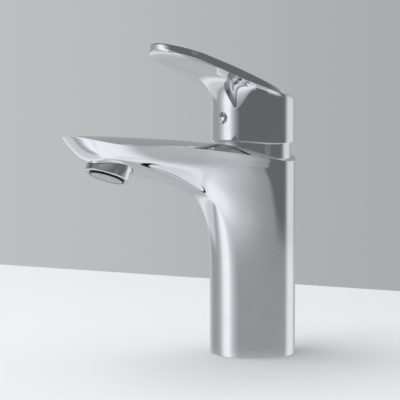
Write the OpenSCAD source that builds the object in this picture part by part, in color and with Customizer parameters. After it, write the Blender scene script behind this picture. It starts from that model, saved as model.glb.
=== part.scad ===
// Single-lever basin mixer: column and spout in one casting, ceramic cartridge,
// tongue-shaped lever, tilted aerator and the fixing kit under the deck.
// The spout points along -Y, the deck is the plane z = 0 and the column stands on the Z axis.

/* [Column and spout] */
// Radius of the column
column_r = 24; // [24:0.5:27]
// Height on the axis of the ridge that runs along the top face
ridge_z = 115.2; // [113:0.5:118]
// Height at which the front of the column starts to swell into the spout
elbow_z = 56; // [50:1:62]
// Reach of the spout tip from the column axis
tip_reach = 131.5; // [126:0.5:140]
// Reach of the aerator thread from the column axis
outlet_reach = 104.5; // [100:0.5:106]
// Depth of the spout where it leaves the column
throat_depth = 23.4; // [22:0.2:25]
// Depth of the spout at the aerator
outlet_depth = 16.2; // [15.6:0.2:17.4]
// How much the half width of the spout is less than the column radius
spout_waist = 3.8; // [2.5:0.1:4.5]
// Radius of the crown across the top face
crown_r = 46; // [44:1:60]
// Radius of the water channel inside the spout
channel_r = 4.5; // [3.5:0.1:4.8]

/* [Lever] */
// Radial step from the column in to the lever cap
cap_step = 0.3; // [0.1:0.1:0.5]
// Height of the lowest point of the cap rim, at the two sides
cap_rim_z = 118.1; // [118:0.1:119]
// Radius of the curve that the cap rim is cut to
rim_cut_r = 110; // [100:1:130]
// Height of the lever top on the column axis
lever_z = 148.4; // [147:0.2:152]
// Reach of the lever tip from the column axis
lever_reach = 72; // [68:0.5:80]
// How much the half width of the paddle is less than the cap radius
paddle_waist = 5.6; // [4:0.1:7]
// Thickness of the paddle at its edge
paddle_t = 4.3; // [3.6:0.1:5]
// Height of the index button and of the screw behind it
button_z = 132.3; // [131.6:0.1:133]
// Radius of the index button
button_r = 3.3; // [3:0.1:3.6]
// Radius of the screw that holds the lever on its stem
screw_r = 2.5; // [2:0.25:2.5]

/* [Cartridge] */
// Depth from the outside of the column in to the cartridge housing
cartridge_cover = 6.6; // [6.4:0.1:7]
// Height of the floor that the cartridge seats on
seat_z = 90; // [89:0.5:91]
// Wall of the cartridge housing
housing_wall = 1.8; // [1.4:0.1:2]
// Height of the pivot pin of the stem
pivot_z = 117; // [116.8:0.1:117.4]
// Radius of the pivot pin
pin_r = 1.5; // [1.2:0.1:1.8]
// Width of the stem across the pin
stem_w = 6; // [5:0.2:6.6]
// Depth of the stem from front to back
stem_d = 8; // [7:0.2:8.2]
// How much the radius of the sliding ceramic disc is less than that of the housing
disc_inset = 6.2; // [6:0.1:6.9]
// Thickness of the fixed ceramic disc
fixed_disc_t = 3.5; // [3:0.1:3.7]
// Thickness of the sliding ceramic disc
moving_disc_t = 3.4; // [3:0.1:3.6]
// Radius of the two inlet ports of the cartridge
port_r = 3.2; // [2.6:0.1:3.4]

/* [Aerator] */
// Radius of the visible aerator ring, that of an M24 insert
aerator_r = 12; // [11.8:0.1:12.4]
// Tilt of the aerator, its jet leaning away from the column
aerator_tilt = 21; // [16:1:24]
// How far the ring stands out of its pocket
aerator_out = 5.1; // [4.5:0.1:6]

/* [Deck fixing] */
// Thickness of the deck that the mixer is clamped to
deck_t = 15; // [8:1:30]
// Radius of the fixing stud, M8
stud_r = 4; // [3:0.5:4]
// Radius of the inlet threads, M10x1
inlet_r = 5; // [4.5:0.1:5.5]
// Distance of each inlet from the middle plane
inlet_x = 8; // [7.5:0.1:8.5]
// Distance of the inlets behind the column axis
inlet_y = 5; // [4:0.1:6]
// Distance of the stud in front of the column axis
stud_y = 10; // [9.5:0.1:11]

/* [Fits] */
// Radial clearance between fixed pieces that slip together
slip = 0.1; // [0.05:0.01:0.15]
// Radial clearance where a piece turns on another
run = 0.05; // [0.03:0.01:0.08]
// Gap between pieces that pass each other
pass = 0.4; // [0.3:0.05:0.5]

/* [Hidden] */
$fn = 64;

// Resolution of the cast shapes: points around half the outline, strips across the top
half_steps = 36;
top_strips = 6;
// A cut runs this far past the face that it opens, or this far to pass through a whole piece
over = 1;
far = 30;

// --- Cast shapes: a round column that grows a tongue to the front -----------------
// A ring is one closed outline; its height follows the edge of the top face by a
// share that grows from 0 low down to 1 at the edge, and its sides lift by the belly.

function ease(x) = let (c = min(1, max(0, x))) c * c * (3 - 2 * c);

function bezier(p, t) =
    (1 - t) ^ 3 * p[0] + 3 * (1 - t) ^ 2 * t * p[1] + 3 * (1 - t) * t ^ 2 * p[2] + t ^ 3 * p[3];

// Knots are [reach, height, share, belly]; the first point of a span is left to the one before
function span(p, steps) = [for (i = [1:steps]) bezier(p, i / steps)];

// cast = [column radius, waist, waist length, nose length, tip reach, pointed reach, draft]
// The nose is pointed up to the pointed reach and grows round past it; below the edge the
// flanks stand in by the draft.
round_length = 74;
waist_start = 1;
waist_growth = 26;
waist_sharpness = 0.015;
draft_start = 5;
draft_growth = 36;
draft_length = 42;
function half_width(cast, s, reach, share) =
    let (out = reach - cast[0],
         u = min(1, max(0, s / cast[2])),
         grown = ease((out - waist_start) / waist_growth),
         draft = cast[6] * (1 - share) * ease((out - draft_start) / draft_growth)
                 * ease((s - draft_start) / draft_length),
         waist = cast[0] - cast[1] * u * u / (u + waist_sharpness) * grown - draft,
         round_nose = cast[0] + (cast[3] - cast[0]) * out / (cast[4] - cast[0]),
         nose = reach + (round_nose - reach) * ease((reach - cast[5]) / round_length),
         q = min(1, max(0, (s - reach + nose) / nose)))
    waist * sqrt(1 - q * q);

// Point of an outline at the angle a from the front: [reach, side]
function outline(cast, a, reach, share) =
    a <= 90
        ? let (s = reach * cos(a)) [s, half_width(cast, s, reach, share)]
        : [cast[0] * cos(a), cast[0] * sin(a)];

// Angle from the front of the point i of a ring
function away(i) = let (turn = 180 * i / half_steps) turn > 180 ? 360 - turn : turn;

function ring(cast, knot, edge_z) =
    let (front = edge_z(cast[4], 0), full = cast[0] - cast[1])
    [for (i = [0:2 * half_steps - 1])
        let (side = i > half_steps ? -1 : 1,
             p = outline(cast, away(i), knot[0], knot[2]),
             e = outline(cast, away(i), cast[4], 1),
             belly = knot[3] * min(1, p[1] / full) ^ 2)
        [side * p[1], -p[0], knot[1] + knot[2] * (edge_z(e[0], e[1]) - front) + belly]];

module cast_shell(rings, top_z) {
    n = 2 * half_steps;
    last = len(rings) - 1;
    edge = last * n;
    rim = rings[last];
    inner = [for (i = [1:half_steps - 1]) for (k = [1:top_strips - 1])
        let (x = rim[i][0] * (1 - 2 * k / top_strips), y = rim[i][1]) [x, y, top_z(-y, x)]];
    function at(i, k) =
        i == 0 ? edge
        : i == half_steps ? edge + half_steps
        : k == 0 ? edge + i
        : k == top_strips ? edge + n - i
        : edge + n + (i - 1) * (top_strips - 1) + k - 1;
    walls = [for (j = [0:last - 1]) for (i = [0:n - 1])
        let (a = j * n + i, b = j * n + (i + 1) % n)
        each [[a, a + n, b + n], [a, b + n, b]]];
    top = [for (i = [0:half_steps - 1]) for (k = [0:top_strips - 1])
        each [if (i > 0) [at(i, k), at(i, k + 1), at(i + 1, k + 1)],
              if (i < half_steps - 1) [at(i, k), at(i + 1, k + 1), at(i + 1, k)]]];
    floor_face = [[for (i = [0:n - 1]) i]];
    polyhedron([for (r = rings) each r, each inner], concat(floor_face, walls, top));
}

// --- Body sizes -------------------------------------------------------------------
ridge_slope = 0.117;
ridge_bend = 0.00041;
function ridge(s) = ridge_z + ridge_slope * s - ridge_bend * s * s;
body_top = function (s, t) ridge(s) - t * t / (2 * crown_r);

waist_length = 60;
nose_length = 27;
pointed_reach = 29;
flank_draft = 4.5;
body_cast = [column_r, spout_waist, waist_length, nose_length, tip_reach, pointed_reach, flank_draft];
throat_s = column_r + 40;
throat_z = ridge(throat_s) - throat_depth;
outlet_s = tip_reach - 20;
outlet_z = ridge(outlet_s) - outlet_depth;
tip_z = ridge(tip_reach);
belly = 9;

body_knots = concat(
    [[column_r, 0, 0, 0], [column_r, elbow_z, 0, 0]],
    span([[column_r, elbow_z, 0, 0], [column_r, elbow_z + 28, 0, 0.12 * belly],
          [column_r + 18, throat_z - 5.6, 0.1, 0.6 * belly], [throat_s, throat_z, 0.2, belly]], 10),
    span([[throat_s, throat_z, 0.2, belly], [throat_s + 18, throat_z + 3.9, 0.35, belly],
          [outlet_s - 12, outlet_z - 3, 0.5, 0.93 * belly], [outlet_s, outlet_z, 0.6, 0.9 * belly]], 6),
    span([[outlet_s, outlet_z, 0.6, 0.9 * belly], [outlet_s + 9, outlet_z + 2.3, 0.65, 0.8 * belly],
          [tip_reach - 5.5, tip_z - 8.5, 0.8, 0.45 * belly], [tip_reach, tip_z, 1, 0]], 8));

// --- Cartridge, collar and sleeve --------------------------------------------------
cartridge_r = column_r - cartridge_cover;
moving_disc_r = cartridge_r - disc_inset;
bore_r = cartridge_r + 0.6;
collar_r = bore_r + 2.4;
collar_z = 124.5;
groove_z = 106;
sleeve_h = 21;
sleeve_in = collar_r + slip;
sleeve_r = sleeve_in + 1;
cap_in = sleeve_r + 1;
sleeve_round = cap_in - pass;
cap_r = column_r - cap_step;

base_z = seat_z + 0.6;
base_t = 3.9;
disc_z = base_z + base_t;
slide_z = disc_z + fixed_disc_t + run;
carrier_z = slide_z + moving_disc_t;
carrier_t = 5;
carrier_hole_r = 3.5;
housing_in = cartridge_r - housing_wall;
disc_r = housing_in - slip;
rotor_z = carrier_z + carrier_t + pass;
shoulder_z = pivot_z - 1;
roof_z = shoulder_z - 4;
neck_r = cartridge_r - 5.4;
neck_top = pivot_z + 8;
housing_neck_r = neck_r + run + 1.9;
housing_top = neck_top - 2;
nut_in = housing_neck_r + slip;
nut_z = shoulder_z;
nut_top = collar_z + 1;
seal_z = 108;
seal_minor = 0.85;
seal_r = bore_r - seal_minor - run;
seal_groove = 2 * seal_minor + 0.4;
seal_track = port_r + 1.5;
seal_floor = seat_z + 2 * seal_minor + 2 * run;
mixed_y = 8;
lug_r = 1.5;
lug_h = 2.4;
lug_x = 12;
lug_y = 6;
notch_w = 3;
notch_h = 2.5;
grip_h = 1.3;

// Lift of the lever and the slide of the disc that it drives
lift_max = 20;
ball_r = 3;
carrier_floor = 0.6;
ball_z = carrier_z + carrier_floor + ball_r + run;
disc_offset = (pivot_z - ball_z) * sin(lift_max) / 2;
stem_top = 142;
swing_up = (neck_top - pivot_z) * sin(lift_max) + stem_d / 2 + 1.2;
swing_down = (pivot_z - ball_z) * tan(lift_max) + ball_r + 1.2;

// --- Lever sizes --------------------------------------------------------------------
lever_slope = 0.39;
lever_bend = 0.0012;
back_lift = 0.006;
lever_crown_r = 120;
paddle_half = cap_r - paddle_waist;
function lever_line(s) = lever_z + lever_slope * s - lever_bend * s * s + (s < 0 ? back_lift * s * s : 0);
lever_top = function (s, t) lever_line(s) + (paddle_half ^ 2 - t * t) / (2 * lever_crown_r);
function band(s) = 1.6 + (paddle_t - 1.6) * ease((s + 8) / 40);
lever_edge = function (s, t) lever_top(s, t) - band(s);
paddle_length = 45;
paddle_nose = 20;
// The nose of the paddle is half round already where it leaves the cap
paddle_pointed = -51;
lever_cast = [cap_r, paddle_waist, paddle_length, paddle_nose, lever_reach, paddle_pointed, 0];
under_z = lever_edge(lever_reach, 0);
neck_s = cap_r + 14;
flare_z = 136;
back_z = lever_edge(-cap_r, 0);
// Knot whose outline stands at the height z in front and a drop below the edge at the back
function lever_knot(s, z, drop) = [s, z, (z - back_z + drop) / (under_z - back_z), 0];
flare = lever_knot(cap_r, flare_z, back_z - flare_z);
neck = lever_knot(neck_s, lever_edge(neck_s, 0) - 2.2, 1.2);
lever_knots = concat(
    [[cap_r, cap_rim_z - 4, 0, 0], flare],
    span([flare, lever_knot(cap_r, flare_z + 11, 3), lever_knot(cap_r + 5, neck[1] - 3.5, 2), neck], 8),
    span([neck, lever_knot(neck_s + 11, neck[1] + 3.8, 0.8),
          lever_knot(lever_reach - 10, under_z - 5.9, 0.4), [lever_reach, under_z, 1, 0]], 8));
// Along the sides the rings gather into a ledge just under the band
ledge_drop = 1;
ledge_rise = 1.05;
function ledge(a) = ease((a - 20) / 30) * ease((120 - a) / 30);
function lever_ring(j) =
    let (knot = lever_knots[j], left = 1 - j / (len(lever_knots) - 1), plain = ring(lever_cast, knot, lever_edge))
    [for (i = [0:2 * half_steps - 1])
        let (p = plain[i], share = j > 0 ? ledge(away(i)) : 0,
             high = lever_edge(-p[1], p[0]) - left * (ledge_drop + ledge_rise * left))
        [p[0], p[1], p[2] + (high - p[2]) * share]];
rim_cut_s = 4;
cap_roof = flare_z + 0.5;
boss_r = 7.5;
boss_z = button_z - 2.9;
screw_len = 8;
key_depth = 3;
button_out = 1;
dome_r = 6;

// --- Aerator and base sizes ----------------------------------------------------------
outlet_axis_z = 107;
channel_start = 8;
channel_end = 6.5;
thread_r = aerator_r - 1;
pocket_r = aerator_r + 0.2;
thread_top = 10;
rim_step = 2;
insert_r = thread_r - 1.1;
washer_t = 1.6;
ring_top = thread_top - washer_t - 0.1;
lip_t = 0.8;
lip_w = 0.6;
screen_t = 0.5;
screen_out = 0.8;
screen_r = insert_r - lip_w - slip;
hoop_w = 0.5;
insert_z = lip_t + screen_t - aerator_out;
insert_floor = 2;
jet_track = 6;
jet_r = 1;
mesh_pitch = 2.2;
mesh_wire = 0.6;
inlet_depth = 14;
stud_depth = 14;
gasket_r = column_r - 1.5;
gasket_w = 3;
gasket_t = 2;
clamp_r = 24;
clamp_t = 3;
plate_t = 2;
nut_h = 6.5;
nut_af = 13;
stud_end = -(deck_t + clamp_t + plate_t + nut_h + 15);

// --- Building blocks -----------------------------------------------------------------
module tube(outer, inner, z0, z1) {
    translate([0, 0, z0]) difference() {
        cylinder(r = outer, h = z1 - z0);
        translate([0, 0, -over]) cylinder(r = inner, h = z1 - z0 + 2 * over);
    }
}

// Places children on the aerator axis, its jet along local -Z
module at_outlet() {
    translate([0, -outlet_reach, outlet_axis_z]) rotate([-aerator_tilt, 0, 0]) children();
}

module o_ring(major, minor, z) {
    translate([0, 0, z]) rotate_extrude() translate([major, 0]) circle(r = minor, $fn = 24);
}

module at_ports() {
    for (side = [-1, 1]) translate([side * inlet_x, inlet_y, 0]) children();
}

module at_lugs() {
    for (side = [-1, 1]) translate([side * lug_x, -lug_y, 0]) children();
}

// Places children on the line of the button and screw, outwards along local +Z
module at_button() {
    translate([0, 0, button_z]) rotate([90, 0, 0]) children();
}

// --- Fixed pieces ----------------------------------------------------------------------
module body() {
    color("silver") difference() {
        union() {
            cast_shell([for (k = body_knots) ring(body_cast, k, body_top)], body_top);
            translate([0, 0, seat_z]) cylinder(r = collar_r, h = collar_z - seat_z);
        }
        translate([0, 0, seat_z]) cylinder(r = bore_r, h = 2 * far);
        translate([0, 0, groove_z]) tube(sleeve_r + slip, collar_r, 0, far);
        channel();
        at_ports() {
            translate([0, 0, -over]) cylinder(r = inlet_r, h = inlet_depth + over);
            cylinder(r = port_r, h = seat_z + over);
        }
        at_lugs() translate([0, 0, seat_z - lug_h - slip]) cylinder(r = lug_r + slip, h = lug_h + over);
        translate([0, -stud_y, -over]) cylinder(r = stud_r, h = stud_depth + over);
        tube(gasket_r + slip, gasket_r - gasket_w - slip, -over, gasket_t);
        at_outlet() {
            translate([0, 0, -far]) cylinder(r = pocket_r, h = far + rim_step);
            cylinder(r = thread_r, h = thread_top);
        }
    }
}

// Water way from the cartridge bore to the aerator
module channel() {
    start = [0, -column_r / 3, seat_z + channel_start];
    end = [0, -outlet_reach, outlet_axis_z + channel_end];
    run_y = start[1] - end[1];
    rise = end[2] - start[2];
    translate(start) rotate([90 - atan(rise / run_y), 0, 0])
        cylinder(r = channel_r, h = norm(end - start));
}

module trim_sleeve() {
    color("silver") intersection() {
        tube(sleeve_r, sleeve_in, groove_z, groove_z + sleeve_h);
        translate([0, 0, pivot_z]) sphere(r = sleeve_round, $fn = 96);
    }
}

module cartridge_nut() {
    color("goldenrod") difference() {
        tube(bore_r - slip, nut_in, nut_z, nut_top);
        for (turn = [0:90:270])
            rotate(turn) translate([nut_in - over, -notch_w / 2, nut_top - notch_h])
                cube([bore_r, notch_w, notch_h + over]);
    }
}

module cartridge_housing() {
    color("white") difference() {
        union() {
            translate([0, 0, disc_z]) cylinder(r = cartridge_r, h = shoulder_z - disc_z);
            translate([0, 0, disc_z]) cylinder(r = housing_neck_r, h = housing_top - disc_z);
        }
        translate([0, 0, disc_z - over]) cylinder(r = housing_in, h = roof_z - disc_z + over);
        cylinder(r = neck_r + run, h = housing_top + over);
        tube(cartridge_r + over, seal_r - seal_minor - run, seal_z - seal_groove / 2, seal_z + seal_groove / 2);
    }
}

module cartridge_base() {
    color("dimgray") difference() {
        union() {
            translate([0, 0, base_z]) cylinder(r = cartridge_r, h = base_t);
            at_lugs() translate([0, 0, seat_z - lug_h]) cylinder(r = lug_r, h = base_z - seat_z + lug_h + over);
        }
        at_ports() {
            cylinder(r = port_r, h = disc_z + over);
            tube(seal_track + seal_minor + run, seal_track - seal_minor - run, 0, seal_floor);
        }
        translate([0, -mixed_y, base_z + 1]) cylinder(r = port_r, h = base_t);
        translate([-port_r, -cartridge_r - over, base_z + 1])
            cube([2 * port_r, cartridge_r + over - mixed_y, base_t - 2]);
    }
}

module port_seals() {
    color("black") at_ports() o_ring(seal_track, seal_minor, seat_z + seal_minor + run);
}

module housing_seal() {
    color("black") o_ring(seal_r, seal_minor, seal_z);
}

module fixed_disc() {
    color("ivory") difference() {
        translate([0, 0, disc_z]) cylinder(r = disc_r, h = fixed_disc_t);
        at_ports() cylinder(r = port_r, h = slide_z);
        translate([0, -mixed_y, 0]) cylinder(r = port_r, h = slide_z);
    }
}

module aerator_washer() {
    color("black") at_outlet() tube(thread_r - slip, insert_r - 1.2, ring_top, ring_top + washer_t);
}

module aerator_housing() {
    color("silver") at_outlet() difference() {
        union() {
            translate([0, 0, -aerator_out]) cylinder(r = aerator_r, h = aerator_out + rim_step - run);
            translate([0, 0, -aerator_out]) cylinder(r = thread_r - slip, h = aerator_out + ring_top);
        }
        translate([0, 0, -aerator_out + lip_t]) cylinder(r = insert_r, h = far);
        translate([0, 0, -far]) cylinder(r = insert_r - lip_w, h = 2 * far);
    }
}

module aerator_insert() {
    color("gainsboro") at_outlet() difference() {
        translate([0, 0, insert_z]) cylinder(r = insert_r - slip, h = ring_top - insert_z);
        for (turn = [0:30:330])
            rotate(turn) translate([jet_track, 0, -far]) cylinder(r = jet_r, h = 2 * far);
        translate([0, 0, insert_z + insert_floor]) cylinder(r = insert_r - 1.2, h = far);
    }
}

module aerator_screen() {
    reach = ceil(insert_r / mesh_pitch);
    color("lightgray") at_outlet() difference() {
        union() {
            translate([0, 0, -aerator_out + lip_t]) cylinder(r = insert_r - slip, h = screen_t);
            translate([0, 0, -aerator_out - screen_out]) cylinder(r = screen_r, h = screen_out + lip_t + screen_t);
        }
        translate([0, 0, -aerator_out - screen_out + screen_t]) cylinder(r = screen_r - hoop_w, h = far);
        translate([0, 0, -far]) linear_extrude(2 * far) intersection() {
            circle(r = screen_r - hoop_w);
            for (i = [-reach:reach], j = [-reach:reach])
                translate([i * mesh_pitch, j * mesh_pitch])
                    square(mesh_pitch - mesh_wire, center = true);
        }
    }
}

module base_gasket() {
    color("dimgray") tube(gasket_r, gasket_r - gasket_w, 0, gasket_t);
}

// --- Turning pieces inside the cartridge -------------------------------------------------
module moving_disc() {
    color("ivory") translate([0, disc_offset, slide_z]) difference() {
        cylinder(r = moving_disc_r, h = moving_disc_t);
        translate([0, 0, -over]) cylinder(r = moving_disc_r - 3, h = moving_disc_t / 2 + over);
    }
}

module disc_carrier() {
    color("dimgray") difference() {
        translate([0, disc_offset, carrier_z]) cylinder(r = moving_disc_r, h = carrier_t);
        translate([0, 0, carrier_z + carrier_floor]) cylinder(r = carrier_hole_r, h = carrier_t);
    }
}

module rotor() {
    slot = stem_w + 2 * pass;
    color("white") difference() {
        union() {
            translate([0, 0, rotor_z]) cylinder(r = disc_r, h = roof_z - run - rotor_z);
            translate([0, 0, rotor_z]) cylinder(r = neck_r, h = neck_top - rotor_z);
        }
        translate([-slot / 2, -swing_down, rotor_z - over])
            cube([slot, swing_down + swing_up, neck_top - rotor_z + 2 * over]);
        translate([-neck_r - over, 0, pivot_z]) rotate([0, 90, 0])
            cylinder(r = pin_r, h = 2 * (neck_r + over));
    }
}

module limit_ring() {
    color("firebrick") difference() {
        union() {
            tube(housing_neck_r, neck_r + run, housing_top + pass, neck_top);
            translate([-notch_w / 2, -housing_neck_r + slip, neck_top - over])
                cube([notch_w, housing_neck_r - neck_r, over + grip_h]);
        }
        cylinder(r = neck_r + run, h = neck_top + grip_h + over);
    }
}

module stem_pin() {
    color("lightgray") translate([-neck_r + 0.5, 0, pivot_z]) rotate([0, 90, 0])
        cylinder(r = pin_r, h = 2 * neck_r - 1);
}

// --- Pieces that lift with the lever -------------------------------------------------------
module stem() {
    shank_z = pivot_z - stem_d / 2;
    color("goldenrod") difference() {
        union() {
            translate([-stem_w / 2, -stem_d / 2, shank_z]) cube([stem_w, stem_d, stem_top - shank_z]);
            translate([0, 0, ball_z]) cylinder(r = ball_r - 0.6, h = shank_z - ball_z + over);
            translate([0, 0, ball_z]) sphere(r = ball_r, $fn = 32);
        }
        translate([-stem_w, 0, pivot_z]) rotate([0, 90, 0])
            cylinder(r = pin_r + run, h = 2 * stem_w);
    }
}

module lever_handle() {
    rings = [for (j = [0:len(lever_knots) - 1]) lever_ring(j)];
    edge = rings[len(rings) - 1];
    top_ring = [for (p = edge) [p[0], p[1], lever_top(-p[1], p[0])]];
    color("silver") difference() {
        intersection() {
            cast_shell(concat(rings, [top_ring]), lever_top);
            translate([-rim_cut_r, -rim_cut_s, cap_rim_z + rim_cut_r]) rotate([0, 90, 0])
                cylinder(r = rim_cut_r, h = 2 * rim_cut_r, $fn = 180);
        }
        difference() {
            cylinder(r = cap_in, h = cap_roof);
            translate([0, 0, boss_z]) cylinder(r = boss_r, h = far);
        }
        translate([-stem_w / 2 - run, -stem_d / 2 - run, 0])
            cube([stem_w + 2 * run, stem_d + 2 * run, stem_top + run]);
        at_button() {
            cylinder(r = screw_r, h = column_r);
            translate([0, 0, boss_r]) cylinder(r = button_r, h = column_r);
        }
    }
}

module handle_screw() {
    color("dimgray") at_button() difference() {
        translate([0, 0, stem_d / 2]) cylinder(r = screw_r, h = screw_len);
        translate([0, 0, stem_d / 2 + screw_len - key_depth])
            cylinder(r = screw_r * 0.55, h = key_depth + over, $fn = 6);
    }
}

module index_button() {
    color("silver") at_button() intersection() {
        translate([0, 0, cap_in - 0.4]) cylinder(r = button_r, h = 5);
        translate([0, 0, cap_r + button_out - dome_r]) sphere(r = dome_r, $fn = 96);
    }
}

// --- Fixing kit under the deck ---------------------------------------------------------------
module fixing_stud() {
    color("lightgray") translate([0, -stud_y, stud_end])
        cylinder(r = stud_r, h = stud_depth - 0.2 - stud_end);
}

// Horseshoe outline that lets the two supply connections pass
module horseshoe(z, t) {
    translate([0, 0, z]) difference() {
        cylinder(r = clamp_r, h = t);
        translate([0, -stud_y, -over]) cylinder(r = stud_r + slip, h = t + 2 * over);
        translate([0, inlet_y, -over]) cylinder(r = inlet_x + inlet_r + 1, h = t + 2 * over);
        translate([-inlet_x - inlet_r - 1, inlet_y, -over])
            cube([2 * (inlet_x + inlet_r + 1), clamp_r + over, t + 2 * over]);
    }
}

module clamp_washer() {
    color("black") horseshoe(-deck_t - clamp_t, clamp_t);
}

module clamp_plate() {
    color("lightgray") horseshoe(-deck_t - clamp_t - plate_t, plate_t);
}

module fixing_nut() {
    color("goldenrod") translate([0, -stud_y, -deck_t - clamp_t - plate_t - nut_h]) difference() {
        cylinder(r = nut_af / sqrt(3), h = nut_h, $fn = 6);
        translate([0, 0, -over]) cylinder(r = stud_r, h = nut_h + 2 * over);
    }
}

body();
trim_sleeve();
cartridge_nut();
cartridge_housing();
cartridge_base();
port_seals();
housing_seal();
fixed_disc();
moving_disc();
disc_carrier();
rotor();
limit_ring();
stem_pin();
stem();
lever_handle();
handle_screw();
index_button();
aerator_washer();
aerator_housing();
aerator_insert();
aerator_screen();
base_gasket();
fixing_stud();
clamp_washer();
clamp_plate();
fixing_nut();
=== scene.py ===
import math
import bmesh
import bpy
from mathutils import Matrix, Vector


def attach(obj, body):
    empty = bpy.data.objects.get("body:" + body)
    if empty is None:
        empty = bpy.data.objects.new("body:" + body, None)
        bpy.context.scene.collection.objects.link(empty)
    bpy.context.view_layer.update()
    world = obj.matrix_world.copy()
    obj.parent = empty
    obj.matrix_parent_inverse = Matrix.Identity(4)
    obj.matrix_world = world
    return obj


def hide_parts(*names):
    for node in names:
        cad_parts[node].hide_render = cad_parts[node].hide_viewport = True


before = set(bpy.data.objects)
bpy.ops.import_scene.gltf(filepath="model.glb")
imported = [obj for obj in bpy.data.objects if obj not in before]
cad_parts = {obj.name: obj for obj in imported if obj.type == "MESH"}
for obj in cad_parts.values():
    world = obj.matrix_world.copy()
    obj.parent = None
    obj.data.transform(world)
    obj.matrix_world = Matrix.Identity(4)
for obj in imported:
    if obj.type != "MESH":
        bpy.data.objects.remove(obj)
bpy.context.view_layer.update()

mm = 0.001
scene = bpy.context.scene
scene.view_settings.view_transform = "Standard"
print("stage: frame loaded")


# Shader wiring: a value between nodes that can be added, taken away, multiplied and divided
class Wire:
    def __init__(self, tree, socket):
        self.tree = tree
        self.socket = socket

    def maths(self, operation, *values):
        node = self.tree.nodes.new("ShaderNodeMath")
        node.operation = operation
        for slot, value in zip(node.inputs, values):
            if isinstance(value, Wire):
                self.tree.links.new(value.socket, slot)
            else:
                slot.default_value = value
        return Wire(self.tree, node.outputs[0])

    def __add__(self, other):
        return self.maths("ADD", self, other)

    __radd__ = __add__

    def __sub__(self, other):
        return self.maths("SUBTRACT", self, other)

    def __rsub__(self, other):
        return self.maths("SUBTRACT", other, self)

    def __mul__(self, other):
        return self.maths("MULTIPLY", self, other)

    __rmul__ = __mul__

    def __truediv__(self, other):
        return self.maths("DIVIDE", self, other)

    def above(self, other):
        return self.maths("MAXIMUM", self, other)

    def below(self, other):
        return self.maths("MINIMUM", self, other)


# The nodes of one material or of the world
class Board:
    def __init__(self, tree):
        self.tree = tree
        tree.nodes.clear()

    def node(self, kind, settings=None, inputs=None, output=0):
        made = self.tree.nodes.new(kind)
        for name, value in (settings or {}).items():
            if name == "stops":
                ramp = made.color_ramp
                for i, (place, shade) in enumerate(value):
                    if i == 0:
                        element = ramp.elements[0]
                    elif i == len(value) - 1:
                        element = ramp.elements[-1]
                    else:
                        element = ramp.elements.new(place)
                    element.position = place
                    element.color = (shade, shade, shade, 1)
            else:
                setattr(made, name, value)
        for name, value in (inputs or {}).items():
            slot = made.inputs[name]
            if isinstance(value, Wire):
                self.tree.links.new(value.socket, slot)
            else:
                slot.default_value = value
        return Wire(self.tree, made.outputs[output]) if made.outputs else None

    def step(self, value, low, high, out=(0.0, 1.0)):
        return self.node("ShaderNodeMapRange", {"interpolation_type": "SMOOTHERSTEP", "clamp": True},
                         {"Value": value, "From Min": low, "From Max": high,
                          "To Min": out[0], "To Max": out[1]})

    def blendColours(self, factor, first, second):
        return self.node("ShaderNodeMix", {"data_type": "RGBA"},
                         {0: factor, 6: first, 7: second}, output=2)


def newFinish(name):
    material = bpy.data.materials.new(name)
    material.use_nodes = True
    return material, Board(material.node_tree)


def objectPlace(board):
    return board.node("ShaderNodeTexCoord", output=3)


def noise(board, place, scale, detail=2.0, roughness=0.5):
    return board.node("ShaderNodeTexNoise", None,
                      {"Vector": place, "Scale": scale, "Detail": detail, "Roughness": roughness})


def finishOff(board, inputs):
    shader = board.node("ShaderNodeBsdfPrincipled", None, inputs)
    board.node("ShaderNodeOutputMaterial", None, {"Surface": shader})


# Polished chrome: a mirror with faint casting waviness, wiping marks and dried-water haze
chromeLook = {"bright": (0.86, 0.87, 0.89, 1), "dim": (0.80, 0.81, 0.84, 1), "gloss": 0.03,
              "haze": 0.025, "hazeScale": 38.0, "hazeFrom": 0.42, "hazeTo": 0.72, "hazeTone": 0.6,
              "specks": 0.04, "speckScale": 620.0, "speckFrom": 0.62, "speckTo": 0.72, "speckTone": 0.15,
              "waviness": 0.012, "waveScale": 85.0, "waveDepth": 0.0006,
              "marks": 0.01, "markScale": (900.0, 900.0, 60.0), "markDepth": 0.00002}


def makeChrome(name, look):
    material, board = newFinish(name)
    place = objectPlace(board)
    haze = noise(board, place, look["hazeScale"], 4.0, 0.6)
    specks = board.step(noise(board, place, look["speckScale"], 1.0), look["speckFrom"], look["speckTo"])
    hazeMask = board.step(haze, look["hazeFrom"], look["hazeTo"])
    tone = board.blendColours(hazeMask * look["hazeTone"] + specks * look["speckTone"],
                              look["bright"], look["dim"])
    gloss = hazeMask * look["haze"] + specks * look["specks"] + look["gloss"]
    waves = board.node("ShaderNodeBump", None, {"Strength": look["waviness"], "Distance": look["waveDepth"],
                                                "Height": noise(board, place, look["waveScale"], 1.0)})
    stretched = board.node("ShaderNodeMapping", None, {"Vector": place, "Scale": look["markScale"]})
    relief = board.node("ShaderNodeBump", None, {"Strength": look["marks"], "Distance": look["markDepth"],
                                                 "Height": noise(board, stretched, 1.0, 2.0),
                                                 "Normal": waves})
    finishOff(board, {"Base Color": tone, "Metallic": 1.0, "Roughness": gloss, "Normal": relief})
    return material


# Turned or drawn metal: fine rings, level above level, and worn patches
turnedLook = {"patchScale": 140.0, "patchGloss": 0.16, "relief": 0.5}


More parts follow.
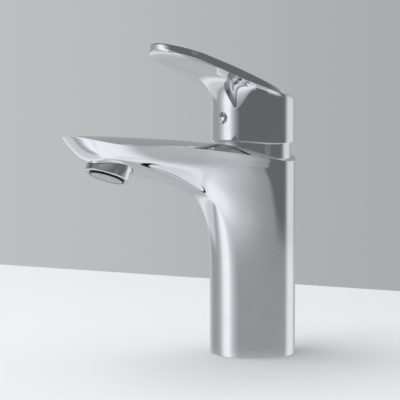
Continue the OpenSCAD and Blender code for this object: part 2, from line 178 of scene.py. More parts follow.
def makeTurned(name, light, dark, gloss, pitch, depth):
    material, board = newFinish(name)
    place = objectPlace(board)
    height = board.node("ShaderNodeSeparateXYZ", None, {"Vector": place}, output=2)
    rings = height.maths("SINE", height * (2 * math.pi / pitch))
    patches = noise(board, place, turnedLook["patchScale"], 3.0, 0.6)
    tone = board.blendColours(patches, light, dark)
    relief = board.node("ShaderNodeBump", None, {"Strength": turnedLook["relief"], "Distance": depth,
                                                 "Height": rings})
    finishOff(board, {"Base Color": tone, "Metallic": 1.0,
                      "Roughness": patches * turnedLook["patchGloss"] + gloss, "Normal": relief})
    return material


# Moulded plastic or rubber, and lapped ceramic: fine grain and slight mottling
mouldedLook = {"mottleScale": 60.0, "grainGloss": 0.2, "relief": 0.4}


def makeMoulded(name, light, dark, gloss, grain, depth):
    material, board = newFinish(name)
    place = objectPlace(board)
    texture = noise(board, place, grain, 3.0, 0.6)
    tone = board.blendColours(noise(board, place, mouldedLook["mottleScale"], 2.0), light, dark)
    relief = board.node("ShaderNodeBump", None, {"Strength": mouldedLook["relief"], "Distance": depth,
                                                 "Height": texture})
    finishOff(board, {"Base Color": tone, "Roughness": texture * mouldedLook["grainGloss"] + gloss,
                      "Normal": relief})
    return material


# Each finish but the chrome: light and dark colour, gloss, pitch or grain, and depth in metres
finishes = {
    "chrome": makeChrome("polishedChrome", chromeLook),
    "brass": makeTurned("turnedBrass", (0.80, 0.62, 0.30, 1), (0.66, 0.49, 0.22, 1), 0.22, 0.0004, 0.00002),
    "steel": makeTurned("threadedSteel", (0.62, 0.63, 0.65, 1), (0.48, 0.49, 0.51, 1),
                        0.26, 0.00125, 0.0003),
    "plate": makeTurned("pressedSteel", (0.60, 0.61, 0.63, 1), (0.50, 0.51, 0.53, 1),
                        0.34, 0.0003, 0.00001),
    "white_plastic": makeMoulded("whiteMoulding", (0.86, 0.86, 0.83, 1), (0.80, 0.80, 0.78, 1),
                                 0.34, 1900.0, 0.00003),
    "grey_plastic": makeMoulded("greyMoulding", (0.40, 0.41, 0.43, 1), (0.33, 0.34, 0.36, 1),
                                0.38, 1900.0, 0.00003),
    "red_plastic": makeMoulded("redMoulding", (0.62, 0.06, 0.05, 1), (0.50, 0.04, 0.04, 1),
                               0.36, 1900.0, 0.00003),
    "ceramic": makeMoulded("lappedCeramic", (0.90, 0.88, 0.82, 1), (0.84, 0.82, 0.76, 1),
                           0.16, 2600.0, 0.000008),
    "seal_rubber": makeMoulded("blackRubber", (0.022, 0.022, 0.024, 1), (0.035, 0.035, 0.037, 1),
                               0.55, 1500.0, 0.00004),
    "gasket_rubber": makeMoulded("greyRubber", (0.10, 0.10, 0.105, 1), (0.14, 0.14, 0.145, 1),
                                 0.6, 1500.0, 0.00004),
}
print("stage: finishes made")


# Shape helpers
def ease(x):
    x = min(1.0, max(0.0, x))
    return x * x * (3 - 2 * x)


def growth(value, start, length):
    return ease((value - start) / length)


def fade(value, end, length):
    return ease((end - value) / length)


def blend(first, second, share):
    return first + (second - first) * share


def bezierPath(points, steps):
    path = []
    for i in range(1, steps + 1):
        u = i / steps
        weights = ((1 - u) ** 3, 3 * (1 - u) ** 2 * u, 3 * (1 - u) * u * u, u ** 3)
        path.append(Vector([sum(w * p[k] for w, p in zip(weights, points)) for k in range(4)]))
    return path


def relaxed(knots, passes):
    for _ in range(passes):
        inner = [(a + b * 2 + c) / 4 for a, b, c in zip(knots, knots[1:], knots[2:])]
        knots = [knots[0], *inner, knots[-1]]
    return knots


# A corner of a path becomes a short curve that starts and ends the given distance from it
def softened(path, radii, steps=4):
    out = []
    for i, point in enumerate(path):
        if i not in radii:
            out.append(point)
            continue
        radius = max(radii[i], 0.02)
        before = point + (path[i - 1] - point).normalized() * radius
        after = point + (path[i + 1] - point).normalized() * radius
        for k in range(steps + 1):
            u = k / steps
            out.append(before * (1 - u) ** 2 + point * 2 * u * (1 - u) + after * u * u)
    return out


# How the outlines of spout and paddle change on their way out from the round column
tongue = {"waistStart": 1, "waistGrowth": 26, "waistSharpness": 0.015,
          "draftStart": 5, "draftGrowth": 36, "draftLength": 42, "roundLength": 74}


# Half the width of the tongue at a distance s in front of the axis, for an outline that far out.
# The outlines are ellipses low down. The share grows from 0 there to 1 at the rim, and with it
# the draft, by which the sides lean in towards the bottom, goes away
def halfWidth(cast, s, reach, share):
    radius, out = cast["radius"], reach - cast["radius"]
    u = min(1.0, max(0.0, s / cast["waistLength"]))
    start = tongue["draftStart"]
    draft = (cast["draft"] * (1 - share) * growth(out, start, tongue["draftGrowth"])
             * growth(s, start, tongue["draftLength"]))
    waist = (radius - cast["waist"] * u * u / (u + tongue["waistSharpness"])
             * growth(out, tongue["waistStart"], tongue["waistGrowth"]) - draft)
    nose = radius + (cast["nose"] - radius) * out / (cast["reach"] - radius)
    nose = blend(reach, nose, growth(reach, cast["pointed"], tongue["roundLength"]))
    q = min(1.0, max(0.0, (s - reach + nose) / nose))
    return waist * math.sqrt(1 - q * q)


def awayFromFront(turn):
    return math.degrees(min(turn, 2 * math.pi - turn))


# Point of an outline, as the distance in front of the axis and the distance to the side
def outlineAt(cast, turn, reach, share=1.0):
    away, radius = math.radians(awayFromFront(turn)), cast["radius"]
    side = 1 if turn <= math.pi else -1
    if away < math.pi / 2 + 0.0001:
        s = reach * math.cos(away)
        return s, side * halfWidth(cast, s, reach, share)
    return radius * math.cos(away), side * radius * math.sin(away)


def onCircle(radius, turn, z):
    return Vector((radius * math.sin(turn), -radius * math.cos(turn), z))


# Skin over columns of points, one column for each turn round the piece, closed at both ends
def loft(bm, columns):
    turnOf = bm.verts.layers.int.new("turn")
    first = bmesh.ops.create_circle(bm, cap_ends=True, radius=1, segments=len(columns))["verts"]
    for i, vert in enumerate(first):
        vert[turnOf] = i
        vert.co = columns[i][0] * mm
    rim = list({edge for vert in first for edge in vert.link_edges})
    for level in range(1, len(columns[0])):
        grown = bmesh.ops.extrude_edge_only(bm, edges=rim)["geom"]
        rim = [part for part in grown if isinstance(part, bmesh.types.BMEdge)]
        for vert in grown:
            if isinstance(vert, bmesh.types.BMVert):
                vert.co = columns[vert[turnOf]][level] * mm
    bmesh.ops.edgeloop_fill(bm, edges=rim)


# Turned shape from a profile of radius and height
def turned(bm, profile, steps=96, closed=False):
    verts = [bm.verts.new((r * mm, 0, z * mm)) for r, z in profile]
    pairs = list(zip(verts, verts[1:] + verts[:1])) if closed else list(zip(verts, verts[1:]))
    edges = [bm.edges.new(pair) for pair in pairs]
    bmesh.ops.spin(bm, geom=verts + edges, angle=2 * math.pi, steps=steps, axis=(0, 0, 1),
                   cent=(0, 0, 0), use_merge=True)
    bmesh.ops.remove_doubles(bm, verts=bm.verts, dist=1e-7)


def softProfile(points, radii, steps=4):
    path = softened([Vector((r, 0, z)) for r, z in points], radii, steps)
    return [(p.x, p.z) for p in path]


def asObject(bm, name):
    bmesh.ops.remove_doubles(bm, verts=bm.verts, dist=1e-7)
    bmesh.ops.recalc_face_normals(bm, faces=bm.faces)
    mesh = bpy.data.meshes.new(name)
    bm.to_mesh(mesh)
    bm.free()
    piece = bpy.data.objects.new(name, mesh)
    scene.collection.objects.link(piece)
    return piece


def addMesh(bm, other):
    spare = bpy.data.meshes.new("spare")
    other.to_mesh(spare)
    other.free()
    bm.from_mesh(spare)
    bpy.data.meshes.remove(spare)


# Cuts the cutter out of the piece and keeps the result as the piece's own mesh. The manifold solver
# gives the same cut each run, where the exact one could leave part of the cutter standing
def carve(piece, cutter):
    cut = piece.modifiers.new("cut", "BOOLEAN")
    cut.operation = "DIFFERENCE"
    cut.solver = "MANIFOLD"
    cut.object = cutter
    bpy.context.view_layer.update()
    result = bpy.data.meshes.new_from_object(piece.evaluated_get(bpy.context.evaluated_depsgraph_get()))
    piece.modifiers.clear()
    old = piece.data
    piece.data = result
    result.name = piece.name
    bpy.data.meshes.remove(old)
    bpy.data.objects.remove(cutter)


# Gives a piece its shading, its finish and its body, and hides the nodes that it stands for
def dress(piece, body, finish, nodes=(), sharpAngle=32):
    bm = bmesh.new()
    bm.from_mesh(piece.data)
    for face in bm.faces:
        face.smooth = True
    for edge in bm.edges:
        edge.smooth = edge.calc_face_angle(0.0) < math.radians(sharpAngle)
    bm.to_mesh(piece.data)
    bm.free()
    piece.data.materials.clear()
    piece.data.materials.append(finishes[finish])
    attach(piece, body)
    if nodes:
        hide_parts(*nodes)


# Body: column and spout in one casting
bodyCast = {"radius": 24.0, "waist": 3.8, "waistLength": 60.0, "nose": 27.0, "reach": 131.5,
            "pointed": 29.0, "draft": 4.5}
bodyShape = {"turns": 180, "ridgeZ": 115.2, "ridgeSlope": 0.117, "ridgeBend": 0.00041, "crown": 46.0,
             "columnZ": (6, 14, 22, 30, 38, 44, 48, 52), "elbowZ": 56.0, "belly": 9.0,
             "throatOut": 40, "throatDepth": 23.4, "outletBack": 20, "outletDepth": 16.2,
             "rimRound": 0.35, "footRound": 0.35, "relax": 2, "wallRelax": 24, "hubR": 3,
             "grooveR": 21.6, "grooveZ": 106.0, "collarR": 20.4, "collarZ": 124.5,
             "boreR": 18.0, "seatZ": 90.0, "gasketOut": 22.6, "gasketIn": 19.4, "gasketZ": 2.0}
bores = {"inletX": 8, "inletY": 5, "inletR": 5, "inletDepth": 14, "channelR": 3.2, "channelTop": 91,
         "studY": -10, "studR": 4.05, "studDepth": 14, "over": 1}
outlet = {"reach": 104.5, "z": 107.0, "tilt": 21.0, "below": -30, "pocketR": 12.5, "pocketTop": 2,
          "threadR": 11.0, "threadTop": 10.0}
outletPlace = (Matrix.Translation(Vector((0, -outlet["reach"], outlet["z"])) * mm)
               @ Matrix.Rotation(-math.radians(outlet["tilt"]), 4, "X"))


def ridge(s):
    return bodyShape["ridgeZ"] + bodyShape["ridgeSlope"] * s - bodyShape["ridgeBend"] * s * s


def bodyTop(s, t):
    return ridge(s) - t * t / (2 * bodyShape["crown"])


# Line of the front, from the foot under the spout to its tip. A knot holds its distance in front of
# the axis, its height, its share of the way to the rim, and how far the sides are lifted there
def bodyKnots():
    shape, cast = bodyShape, bodyCast
    radius, elbow, belly = cast["radius"], shape["elbowZ"], shape["belly"]
    throatS = radius + shape["throatOut"]
    throatZ = ridge(throatS) - shape["throatDepth"]
    outletS = cast["reach"] - shape["outletBack"]
    outletZ = ridge(outletS) - shape["outletDepth"]
    tip, tipZ = cast["reach"], ridge(cast["reach"])
    knots = [Vector((radius, z, 0, 0)) for z in (*shape["columnZ"], elbow)]
    knots += bezierPath([(radius, elbow, 0, 0), (radius, elbow + 28, 0, 0.12 * belly),
                         (radius + 18, throatZ - 5.6, 0.1, 0.6 * belly), (throatS, throatZ, 0.2, belly)], 20)
    knots += bezierPath([(throatS, throatZ, 0.2, belly), (throatS + 18, throatZ + 3.9, 0.35, belly),
                         (outletS - 12, outletZ - 3, 0.5, 0.93 * belly),
                         (outletS, outletZ, 0.6, 0.9 * belly)], 14)
    knots += bezierPath([(outletS, outletZ, 0.6, 0.9 * belly),
                         (outletS + 9, outletZ + 2.3, 0.65, 0.8 * belly),
                         (tip - 5.5, tipZ - 8.5, 0.8, 0.45 * belly), (tip, tipZ, 1, 0)], 18)
    return relaxed(knots, shape["relax"])


# One column of the skin: gasket groove, foot, wall, top face, groove and collar, cartridge bore
def bodyColumn(knots, turn):
    shape, cast = bodyShape, bodyCast
    radius = cast["radius"]
    path = [onCircle(shape["hubR"], turn, 0), onCircle(shape["gasketIn"], turn, 0),
            onCircle(shape["gasketIn"], turn, shape["gasketZ"]),
            onCircle(shape["gasketOut"], turn, shape["gasketZ"]),
            onCircle(shape["gasketOut"], turn, 0), onCircle(radius, turn, 0)]
    radii = {len(path) - 1: shape["footRound"]}
    edgeS, edgeT = outlineAt(cast, turn, cast["reach"])
    drop = bodyTop(edgeS, edgeT) - ridge(cast["reach"])
    full = radius - cast["waist"]
    wall = []
    for knot in knots:
        s, t = outlineAt(cast, turn, knot[0], knot[2])
        lift = knot[3] * min(1.0, abs(t) / full) ** 2
        wall.append(Vector((t, -s, knot[1] + knot[2] * drop + lift)))
    path += relaxed(wall, shape["wallRelax"])
    radii[len(path) - 1] = shape["rimRound"]
    inner = onCircle(shape["grooveR"], turn, 0)
    for share in (0.06, 0.14, 0.23, 0.33, 0.43, 0.53, 0.63, 0.72, 0.8, 0.87, 0.93, 1.0):
        s, t = blend(edgeS, -inner.y, share), blend(edgeT, inner.x, share)
        path.append(Vector((t, -s, bodyTop(s, t))))
    for across, up in (("grooveR", "grooveZ"), ("collarR", "grooveZ"), ("collarR", "collarZ"),
                       ("boreR", "collarZ"), ("boreR", "seatZ"), ("hubR", "seatZ")):
        path.append(onCircle(shape[across], turn, shape[up]))
    return softened(path, radii)


def makeBody():
    knots = bodyKnots()
    turns = bodyShape["turns"]
    bm = bmesh.new()
    loft(bm, [bodyColumn(knots, 2 * math.pi * i / turns) for i in range(turns)])
    piece = asObject(bm, "spoutBody")
    low = -bores["over"]
    inlet = [(0, low), (bores["inletR"], low), (bores["inletR"], bores["inletDepth"]),
             (bores["channelR"], bores["inletDepth"]), (bores["channelR"], bores["channelTop"]),
             (0, bores["channelTop"])]
    stud = [(0, low), (bores["studR"], low), (bores["studR"], bores["studDepth"]), (0, bores["studDepth"])]
    cutter = bmesh.new()
    turned(cutter, [(0, outlet["below"]), (outlet["pocketR"], outlet["below"]),
                    (outlet["pocketR"], outlet["pocketTop"]), (outlet["threadR"], outlet["pocketTop"]),
                    (outlet["threadR"], outlet["threadTop"]), (0, outlet["threadTop"])])
    cutter.transform(outletPlace)
    for x, y, profile in ((-bores["inletX"], bores["inletY"], inlet),
                          (bores["inletX"], bores["inletY"], inlet), (0, bores["studY"], stud)):
        drill = bmesh.new()
        turned(drill, profile, 48)
        drill.transform(Matrix.Translation(Vector((x, y, 0)) * mm))
        addMesh(cutter, drill)
    carve(piece, asObject(cutter, "bodyCutter"))
    dress(piece, "column", "chrome", ["body"])


makeBody()
print("stage: body made")


# Lever: cap over the cartridge that grows into the paddle
leverCast = {"radius": 23.7, "waist": 5.6, "waistLength": 45.0, "nose": 20.0, "reach": 72.0,
             "pointed": -51.0, "draft": 0.0}
leverShape = {"turns": 160, "lineZ": 148.4, "slope": 0.39, "bend": 0.0012, "backLift": 0.006, "crown": 120.0,
              "thinEdge": 1.6, "thickEdge": 4.3, "edgeStart": -8, "edgeGrowth": 40,
              "flareZ": 136.0, "neckOut": 14, "neckDrop": 2.2,
              "rimZ": 118.1, "rimCut": 110.0, "rimCutS": 4.0, "hubR": 1.5,
              "cavityR": 22.5, "roofZ": 136.5, "bossR": 7.5, "bossZ": 129.4, "middleS": 18.0,
              "rimInRound": 0.25, "rimOutRound": 0.35, "tipRound": 0.45, "tipSharper": 0.85,
              "backRound": 3.0, "edgeRound": 0.3, "noseRound": 1.6,
              "ledgeDrop": 1.0, "ledgeRise": 1.05, "relax": 2}
# Where round the cap a form grows or fades, in degrees away from the front: start or end, and length
leverTurns = {"back": (60, 90), "ledgeIn": (20, 30), "ledgeOut": (120, 30), "edge": (120, 60),
              "nose": (22, 16)}
recess = {"z": 132.3, "radius": 3.38, "inner": 10, "outer": 40}
buttonPlace = Matrix.Translation(Vector((0, 0, recess["z"])) * mm) @ Matrix.Rotation(math.pi / 2, 4, "X")


def leverTop(s, t):
    shape = leverShape
    line = shape["lineZ"] + shape["slope"] * s - shape["bend"] * s * s
    if s < 0:
        line += shape["backLift"] * s * s
    half = leverCast["radius"] - leverCast["waist"]
    return line + (half ** 2 - t * t) / (2 * shape["crown"])


def leverEdge(s, t):
    shape = leverShape
    thicker = (shape["thickEdge"] - shape["thinEdge"]) * growth(s, shape["edgeStart"], shape["edgeGrowth"])
    return leverTop(s, t) - shape["thinEdge"] - thicker


def rimZ(s):
    shape = leverShape
    return shape["rimZ"] + shape["rimCut"] - math.sqrt(shape["rimCut"] ** 2 - (s - shape["rimCutS"]) ** 2)


# Line of the front, from the flare over the button to the paddle's tip. A knot holds its distance in
# front of the axis, its height, and how much of the edge's rise towards the back it takes part in
def leverKnots():
    shape, cast = leverShape, leverCast
    radius, reach = cast["radius"], cast["reach"]
    under, back = leverEdge(reach, 0), leverEdge(-radius, 0)

    def knot(s, z, drop):
        return (s, z, (z - back + drop) / (under - back), 0)

    flare = knot(radius, shape["flareZ"], back - shape["flareZ"])
    neckS = radius + shape["neckOut"]
    neckZ = leverEdge(neckS, 0) - shape["neckDrop"]
    neck = knot(neckS, neckZ, 1.2)
    knots = [Vector(flare)]
    knots += bezierPath([flare, knot(radius, shape["flareZ"] + 11, 3),
                         knot(radius + 5, neckZ - 3.5, 2), neck], 14)
    knots += bezierPath([neck, knot(neckS + 11, neckZ + 3.8, 0.8), knot(reach - 10, under - 5.9, 0.4),
                         (reach, under, 1, 0)], 14)
    return relaxed(knots, shape["relax"])


# One column of the skin: boss and cavity, rim, wall with the ledge, paddle's edge, top face
def leverColumn(knots, turn):
    shape, cast = leverShape, leverCast
    radius, reach = cast["radius"], cast["reach"]
    away = awayFromFront(turn)
    backRound = shape["backRound"] * growth(away, *leverTurns["back"])
    path = [onCircle(shape["hubR"], turn, shape["bossZ"]), onCircle(shape["bossR"], turn, shape["bossZ"]),
            onCircle(shape["bossR"], turn, shape["roofZ"]), onCircle(shape["cavityR"], turn, shape["roofZ"]),
            onCircle(shape["cavityR"], turn, rimZ(shape["cavityR"] * math.cos(turn))),
            onCircle(radius, turn, rimZ(radius * math.cos(turn)))]
    radii = {len(path) - 2: shape["rimInRound"], len(path) - 1: shape["rimOutRound"]}
    edgeS, edgeT = outlineAt(cast, turn, reach)
    top = leverTop(edgeS, edgeT)
    drop = leverEdge(edgeS, edgeT) - leverEdge(reach, 0)
    gather = growth(away, *leverTurns["ledgeIn"]) * fade(away, *leverTurns["ledgeOut"])
    upper = []
    for i, k in enumerate(knots):
        s, t = outlineAt(cast, turn, k[0])
        left = 1 - i / (len(knots) - 1)
        ledge = leverEdge(s, t) - left * (shape["ledgeDrop"] + shape["ledgeRise"] * left)
        upper.append(Vector((s, t, blend(k[1] + k[2] * drop, ledge, gather))))
    walls = [Vector((*outlineAt(cast, turn, radius), blend(path[-1].z, upper[0].z, share)))
             for share in (0.03, 0.25, 0.5, 0.75, 0.95)] + upper
    walls.append(Vector((edgeS, edgeT, top)))
    for s, t, z in walls:
        depth = min(backRound, top - z)
        inset = backRound - math.sqrt(max(0.0, backRound ** 2 - (backRound - depth) ** 2))
        shrink = 1 - inset / max(1e-6, math.hypot(s, t))
        path.append(Vector((t * shrink, -s * shrink, z)))
    radii[len(path) - 2] = (shape["edgeRound"] * fade(away, *leverTurns["edge"])
                            + shape["noseRound"] * fade(away, *leverTurns["nose"]))
    radii[len(path) - 1] = shape["tipRound"] * (1 - shape["tipSharper"] * growth(away, *leverTurns["back"]))
    rim = path[-1].copy()
    middle = (shape["middleS"], 0.0)
    for share in (0.05, 0.12, 0.2, 0.3, 0.41, 0.52, 0.63, 0.74, 0.84, 0.92, 0.97):
        s, t = blend(-rim.y, middle[0], share), blend(rim.x, middle[1], share)
        path.append(Vector((t, -s, leverTop(s, t))))
    return softened(path, radii)


def makeLever():
    knots = leverKnots()
    turns = leverShape["turns"]
    bm = bmesh.new()
    loft(bm, [leverColumn(knots, 2 * math.pi * i / turns) for i in range(turns)])
    piece = asObject(bm, "leverHandle")
    cutter = bmesh.new()
    turned(cutter, [(0, recess["inner"]), (recess["radius"], recess["inner"]),
                    (recess["radius"], recess["outer"]), (0, recess["outer"])], 64)
    cutter.transform(buttonPlace)
    carve(piece, asObject(cutter, "leverCutter"))
    dress(piece, "lever", "chrome", ["lever_handle"])


makeLever()
print("stage: lever made")


# Index button: a small dome in the front of the cap
buttonShape = {"radius": 3.3, "inner": 22.1, "crown": 24.7, "dome": 6.0, "edge": 0.25, "round": 0.12,
               "rings": 10}


def makeButton():
    shape = buttonShape
    rings = shape["rings"]
    arc = []
    for i in range(rings, -1, -1):
        r = (shape["radius"] - shape["edge"]) * i / rings
        arc.append((r, shape["crown"] - shape["dome"] + math.sqrt(shape["dome"] ** 2 - r * r)))
    side = arc[0][1] - shape["edge"]
    profile = [(0, shape["inner"]), (shape["radius"], shape["inner"]), (shape["radius"], side), *arc]
    bm = bmesh.new()
    turned(bm, softProfile(profile, {2: shape["round"]}), 64)
    bm.transform(buttonPlace)
    dress(asObject(bm, "indexButton"), "lever", "chrome", ["index_button"])


makeButton()
print("stage: button made")


# Sleeve that shows in the gap between body and cap
sleeveShape = {"inner": 20.5, "outer": 21.5, "low": 106.0, "centre": 117.0, "ball": 22.1, "rings": 8}


def makeSleeve():
    shape = sleeveShape
    profile = [(shape["inner"], shape["low"]), (shape["outer"], shape["low"])]
    for i in range(shape["rings"] + 1):
        r = blend(shape["outer"], shape["inner"], i / shape["rings"])
        profile.append((r, shape["centre"] + math.sqrt(shape["ball"] ** 2 - r * r)))
    bm = bmesh.new()
    turned(bm, profile, 144, closed=True)
    dress(asObject(bm, "trimSleeve"), "column", "chrome", ["trim_sleeve"])


makeSleeve()
print("stage: sleeve made")


# Aerator: chrome ring with a rolled lip, and the woven screen inside it
aeratorShape = {"radius": 12.0, "out": 5.1, "step": 1.95, "threadR": 10.9, "top": 8.3, "bore": 9.9,
                "lip": 9.3, "lipT": 0.8, "lowRound": 0.7, "topRound": 0.2, "lipRound": 0.3, "turns": 112}
# The screen's black tone and its gloss are painted shade on the hoop, for the shadowed gap under the
# aerator's lip
screenShape = {"radius": 9.1, "rim": 9.7, "hoop": 8.6, "face": -5.9, "ledge": -4.3, "back": -4.0,
               "cells": 22, "wire": 0.3, "sunk": 0.2, "margin": 0.5, "round": 0.15, "blur": 0.05,
               "steelGloss": 0.25, "blackGloss": 0.5,
               "steel": (0.60, 0.61, 0.63, 1), "black": (0.012, 0.012, 0.013, 1)}


def makeAerator():
    shape = aeratorShape
    low = -shape["out"]
    points = [(shape["radius"], low), (shape["radius"], shape["step"]), (shape["threadR"], shape["step"]),
              (shape["threadR"], shape["top"]), (shape["bore"], shape["top"]),
              (shape["bore"], low + shape["lipT"]), (shape["lip"], low + shape["lipT"]), (shape["lip"], low)]
    radii = {1: shape["lowRound"], 2: shape["topRound"], 8: shape["lipRound"]}
    profile = softProfile([points[-1], *points, points[0]], radii, 5)[1:-1]
    bm = bmesh.new()
    turned(bm, profile, shape["turns"], closed=True)
    bm.transform(outletPlace)
    dress(asObject(bm, "aeratorRing"), "column", "chrome", ["aerator_housing"])


# Woven steel inside a hoop that is painted black as shade, standing in for the shadowed gap under the
# aerator's lip
def makeScreenFinish():
    material, board = newFinish("wovenScreen")
    away = board.node("ShaderNodeVectorMath", {"operation": "SUBTRACT"},
                      {0: objectPlace(board), 1: outletPlace.translation})
    away = board.node("ShaderNodeVectorMath", {"operation": "CROSS_PRODUCT"},
                      {0: away, 1: outletPlace.to_3x3().col[2]})
    away = board.node("ShaderNodeVectorMath", {"operation": "LENGTH"}, {0: away}, output=1)
    # from the hoop's inner edge outwards the screen is painted black as shade for the gap under the lip
    edge = screenShape["hoop"] * mm
    hoop = board.step(away, edge - screenShape["blur"] * mm, edge)
    finishOff(board, {"Base Color": board.blendColours(hoop, screenShape["steel"], screenShape["black"]),
                      "Metallic": 1.0 - hoop,
                      "Roughness": hoop * (screenShape["blackGloss"] - screenShape["steelGloss"])
                      + screenShape["steelGloss"]})
    return material


def makeScreen():
    shape = screenShape
    bm = bmesh.new()
    cells = shape["cells"]
    bmesh.ops.create_grid(bm, x_segments=cells, y_segments=cells, size=shape["radius"] * mm)
    limit = (shape["radius"] - shape["margin"]) * mm
    outside = [f for f in bm.faces if f.calc_center_median().length > limit]
    bmesh.ops.delete(bm, geom=outside, context="FACES")
    bmesh.ops.wireframe(bm, faces=bm.faces, thickness=shape["wire"] * mm, use_replace=True,
                        use_boundary=True, use_even_offset=True)
    bm.transform(Matrix.Translation((0, 0, (shape["face"] + shape["sunk"]) * mm)))
    hoop = bmesh.new()
    turned(hoop, softProfile([(shape["hoop"], shape["face"]), (shape["radius"], shape["face"]),
                              (shape["radius"], shape["ledge"]), (shape["rim"], shape["ledge"]),
                              (shape["rim"], shape["back"]), (shape["hoop"], shape["back"])],
                             {1: shape["round"]}, 3), 72, closed=True)
    addMesh(bm, hoop)
    bm.transform(outletPlace)
    dress(asObject(bm, "aeratorScreen"), "column", "mesh", ["aerator_screen"])


finishes["mesh"] = makeScreenFinish()
makeAerator()
makeScreen()
print("stage: aerator made")


# Carried-over pieces take their finishes
carriedFinish = {
    "cartridge_nut": "brass", "cartridge_housing": "white_plastic", "cartridge_base": "grey_plastic",
    "port_seals": "seal_rubber", "housing_seal": "seal_rubber", "fixed_disc": "ceramic",
    "moving_disc": "ceramic", "disc_carrier": "grey_plastic", "rotor": "white_plastic",
    "limit_ring": "red_plastic", "stem_pin": "plate", "stem": "brass", "handle_screw": "plate",
    "aerator_washer": "seal_rubber", "aerator_insert": "white_plastic", "base_gasket": "gasket_rubber",
    "fixing_stud": "steel", "clamp_washer": "seal_rubber", "clamp_plate": "plate", "fixing_nut": "brass",
}
for nodeName, finish in carriedFinish.items():
    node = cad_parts[nodeName]
    node.data.materials.clear()
    node.data.materials.append(finishes[finish])
print("stage: carried pieces dressed")


# Floor, light and camera
floorLook = {"near": 0.55, "far": 0.30, "side": 0.9, "turn": 16.5,
             "tone": (0.80, 0.805, 0.815, 1), "grainScale": 6.0, "grainShade": 0.98, "gloss": 0.6}


def makeFloor():
    shape = floorLook
    bm = bmesh.new()
    bmesh.ops.create_grid(bm, x_segments=1, y_segments=1, size=1)
    for vert in bm.verts:
        vert.co.x *= shape["side"]
        vert.co.y = shape["far"] if vert.co.y > 0 else -shape["near"]
    bmesh.ops.rotate(bm, verts=bm.verts, matrix=Matrix.Rotation(math.radians(shape["turn"]), 3, "Z"))
    floor = asObject(bm, "floor")
    material, board = newFinish("paleFloor")
    grain = noise(board, objectPlace(board), shape["grainScale"])
    darker = tuple(c * shape["grainShade"] for c in shape["tone"][:3]) + (1,)
    tone = board.blendColours(grain, shape["tone"], darker)
    finishOff(board, {"Base Color": tone, "Roughness": shape["gloss"]})
    floor.data.materials.append(material)
    floor.visible_glossy = False


cameraShape = {"place": (0.5489, -0.5581, 0.1323), "heading": (-0.728, 0.686), "pitch": 3.376, "lens": 125.1,
               "sensor": 36, "near": 0.01}


def makeCamera():
    shape = cameraShape
    lens = bpy.data.cameras.new("camera")
    lens.lens = shape["lens"]
    lens.sensor_width = shape["sensor"]
    lens.clip_start = shape["near"]
    camera = bpy.data.objects.new("camera", lens)
    flat = Vector((*shape["heading"], 0)).normalized()
    pitch = math.radians(shape["pitch"])
    look = flat * math.cos(pitch) - Vector((0, 0, math.sin(pitch)))
    camera.rotation_euler = look.to_track_quat("-Z", "Y").to_euler()
    camera.location = shape["place"]
    scene.collection.objects.link(camera)
    scene.camera = camera


# Studio round the mixer: tones by compass angle from the camera's side and by height, in degrees.
# "sides" is the share of the compass tones in the whole, and "strip" a narrow light on the wall
studio = {
    "front": 46.7, "wallLeft": 0.53, "wallRight": 0.40, "wallBlend": 0.25,
    "boxLeft": (-125.0, -100.0), "boxRight": (-44.0, -30.0), "boxTop": (4.0, 10.0), "boxDim": 0.55,
    "wallDim": 0.22, "cornerTop": (-7.0, -4.0), "cornerLeft": (84.0, 96.0), "cornerDim": 0.13,
    "doorLeft": (-172.0, -150.0), "doorRight": (-122.0, -104.0), "doorFloor": (-22.0, -9.0), "doorLift": 0.3,
    "floorEnd": (-86.0, -70.0), "ceilingEnd": (30.0, 60.0),
    "stripLow": (2.9, 3.4), "stripHigh": (6.0, 12.0), "stripTone": 0.06,
    "lightTint": (0.985, 0.995, 1.03), "wallTint": (0.985, 1.0, 1.02),
    "heights": [(-75, 0.98), (-60, 0.92), (-48, 0.74), (-37, 0.60), (-28, 0.53), (-21, 0.47), (-16, 0.41),
                (-11, 0.355), (-7.6, 0.33), (-5.4, 0.305), (-4.5, 0.145), (14, 0.145), (30, 0.30),
                (55, 0.75), (80, 1.15)],
    "around": [(-180, 0.50), (-168, 0.48), (-157, 0.58), (-150, 0.54), (-138, 0.37), (-121, 0.345),
               (-106, 0.39), (-95, 0.57), (-85, 0.94), (-69, 1.03), (-56, 0.77), (-45, 0.62), (-33, 0.5),
               (92, 0.60), (106, 0.74), (112, 0.85), (131, 0.85), (140, 0.70), (149, 0.46), (180, 0.52)],
    "sides": [(-180, 1), (-70, 1), (-38, 0), (90, 0), (98, 0.3), (106, 1), (180, 1)],
    "strip": [(-180, 0), (33, 0), (35, 1), (51, 1), (53, 0), (180, 0)],
}


def byDegrees(board, angle, stops, low, high):
    share = (angle - low) / (high - low)
    return board.node("ShaderNodeValToRGB", {"stops": [((place - low) / (high - low), tone)
                                                       for place, tone in stops]}, {"Fac": share})


def tinted(board, tone, tint):
    red, green, blue = tint
    colour = board.node("ShaderNodeCombineColor", None,
                        {"Red": tone * red, "Green": tone * green, "Blue": tone * blue})
    return board.node("ShaderNodeBackground", None, {"Color": colour})


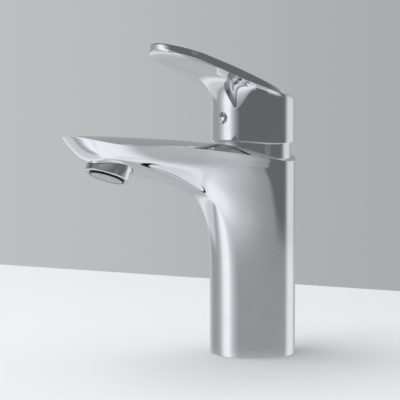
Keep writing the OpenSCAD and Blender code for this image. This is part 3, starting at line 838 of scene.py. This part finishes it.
def makeStudio():
    world = bpy.data.worlds.new("studio")
    scene.world = world
    world.use_nodes = True
    board = Board(world.node_tree)
    heading = board.node("ShaderNodeTexCoord")
    turnedRound = board.node("ShaderNodeVectorRotate", {"rotation_type": "Z_AXIS"},
                             {"Vector": heading, "Angle": -math.radians(studio["front"])})
    x = board.node("ShaderNodeSeparateXYZ", None, {"Vector": turnedRound}, output=0)
    y = board.node("ShaderNodeSeparateXYZ", None, {"Vector": turnedRound}, output=1)
    z = board.node("ShaderNodeSeparateXYZ", None, {"Vector": turnedRound}, output=2)
    azimuth = x.maths("ARCTAN2", x, y * -1.0) * (180 / math.pi)
    height = z.maths("ARCSINE", z.below(1.0).above(-1.0)) * (180 / math.pi)
    room = byDegrees(board, height, studio["heights"], -90, 90)
    around = byDegrees(board, azimuth, studio["around"], -180, 180)
    sides = byDegrees(board, azimuth, studio["sides"], -180, 180)
    strip = byDegrees(board, azimuth, studio["strip"], -180, 180)
    # the soft box is cut off at the top, and the wall behind is duller higher up
    softBox = board.step(azimuth, *studio["boxLeft"]) * (1.0 - board.step(azimuth, *studio["boxRight"]))
    higher = board.step(height, *studio["boxTop"])
    around = around * (1.0 - higher * (softBox * studio["boxDim"] + studio["wallDim"]))
    corner = board.step(height, *studio["cornerTop"]) * board.step(azimuth, *studio["cornerLeft"])
    around = around * (1.0 - corner * studio["cornerDim"])
    # the dark doorway to the left stands on a pale floor
    doorway = board.step(azimuth, *studio["doorLeft"]) * (1.0 - board.step(azimuth, *studio["doorRight"]))
    low = 1.0 - board.step(height, *studio["doorFloor"])
    around = around + doorway * low * studio["doorLift"]
    # straight down and overhead the room is the same all round
    ends = (1.0 - board.step(height, *studio["floorEnd"])).above(board.step(height, *studio["ceilingEnd"]))
    sides = sides * (1.0 - ends)
    tone = room * (1.0 - sides) + around * sides
    band = board.step(height, *studio["stripLow"]) * (1.0 - board.step(height, *studio["stripHigh"]))
    tone = tone + strip * band * studio["stripTone"]
    # what the camera sees behind the mixer is a plain grey wall
    blendWidth = studio["wallBlend"]
    plain = board.step(x, -blendWidth, blendWidth, (studio["wallLeft"], studio["wallRight"]))
    camera = board.node("ShaderNodeLightPath")
    seen = board.node("ShaderNodeMixShader", None, {0: camera, 1: tinted(board, tone, studio["lightTint"]),
                                                    2: tinted(board, plain, studio["wallTint"])})
    board.node("ShaderNodeOutputWorld", None, {"Surface": seen})


lampShape = {"size": (1.8, 1.4), "watts": 24, "place": (-0.5, -0.7, 1.5), "target": (0, 0, 0.06)}


def makeLamp():
    lamp = bpy.data.lights.new("softLamp", "AREA")
    lamp.shape = "RECTANGLE"
    lamp.size, lamp.size_y = lampShape["size"]
    lamp.energy = lampShape["watts"]
    holder = bpy.data.objects.new("softLamp", lamp)
    holder.location = lampShape["place"]
    aim = Vector(lampShape["target"]) - holder.location
    holder.rotation_euler = aim.to_track_quat("-Z", "Y").to_euler()
    holder.visible_glossy = False
    scene.collection.objects.link(holder)


makeFloor()
makeCamera()
makeStudio()
makeLamp()
print("stage: studio made")
